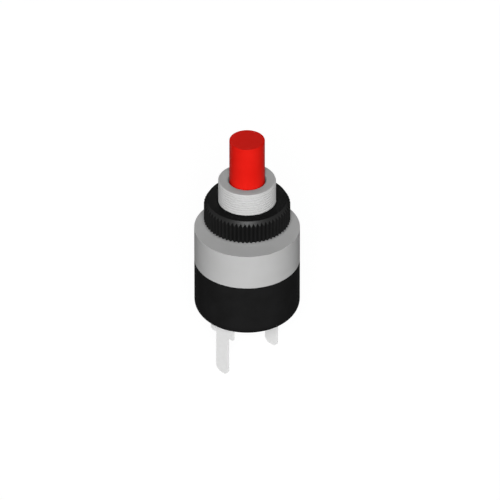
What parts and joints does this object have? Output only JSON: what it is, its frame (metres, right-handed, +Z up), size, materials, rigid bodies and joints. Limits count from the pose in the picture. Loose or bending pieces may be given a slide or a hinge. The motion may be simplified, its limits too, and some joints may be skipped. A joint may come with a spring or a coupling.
{
  "type": "pushbutton switch",
  "caption": "Panel-mounting momentary pushbutton switch: round button in a threaded bushing with a knurled nut, metal and moulded barrel body, flat terminals below.",
  "frame": {"origin": "middle of the shoulder face that sits against the panel, on the bushing's axis", "axes": "+Z up the bushing to the button; the two terminals stand below the base at +Y (far) and -Y (near), their flat sides facing Y"},
  "size_m": [0.0184, 0.0184, 0.0461],
  "materials": {
    "plated_shell": "satin nickel-like plating",
    "blackened_nut": "black, satin",
    "red_moulding": "red, satin gloss",
    "black_moulding": "black phenolic-like moulding, matt",
    "fibre": "vulcanised fibre, matt",
    "tinned_terminal": "tin plated, satin",
    "contact_silver": "silver alloy, plain",
    "bridge_brass": "plain brass strip",
    "spring_steel": "spring wire and strip"
  },
  "bodies": {
    "body": {"housing": "plated_shell", "base": "black_moulding", "insulator_disc": "fibre", "terminal_near": "tinned_terminal", "terminal_far": "tinned_terminal", "fixed_contact_near": "contact_silver", "fixed_contact_far": "contact_silver", "return_spring": "spring_steel"},
    "nut": {"mounting_nut": "blackened_nut"},
    "plunger": {"button": "red_moulding", "retaining_ring": "spring_steel", "contact_spring": "spring_steel"},
    "bridge": {"contact_bridge": "bridge_brass", "moving_contact_near": "contact_silver", "moving_contact_far": "contact_silver"}
  },
  "joints": [
    {"name": "nut_turn", "type": "hinge", "parent": "body", "child": "nut", "pos_m": [0, 0, 0.00382], "axis": [0, 0, 1], "continuous": true},
    {"name": "button_press", "type": "slide", "parent": "body", "child": "plunger", "axis": [0, 0, -1], "range_m": [0, 0.003], "stiffness_N_per_m": 700, "springref_m": -0.0025, "deforming": ["return_spring"]},
    {"name": "bridge_lag", "type": "slide", "parent": "plunger", "child": "bridge", "axis": [0, 0, 1], "range_m": [0, 0.0012], "deforming": ["contact_spring"]}
  ],
  "couplings": [
    {"joint": "bridge_lag", "follows": "button_press", "ratio": 0.4}
  ]
}
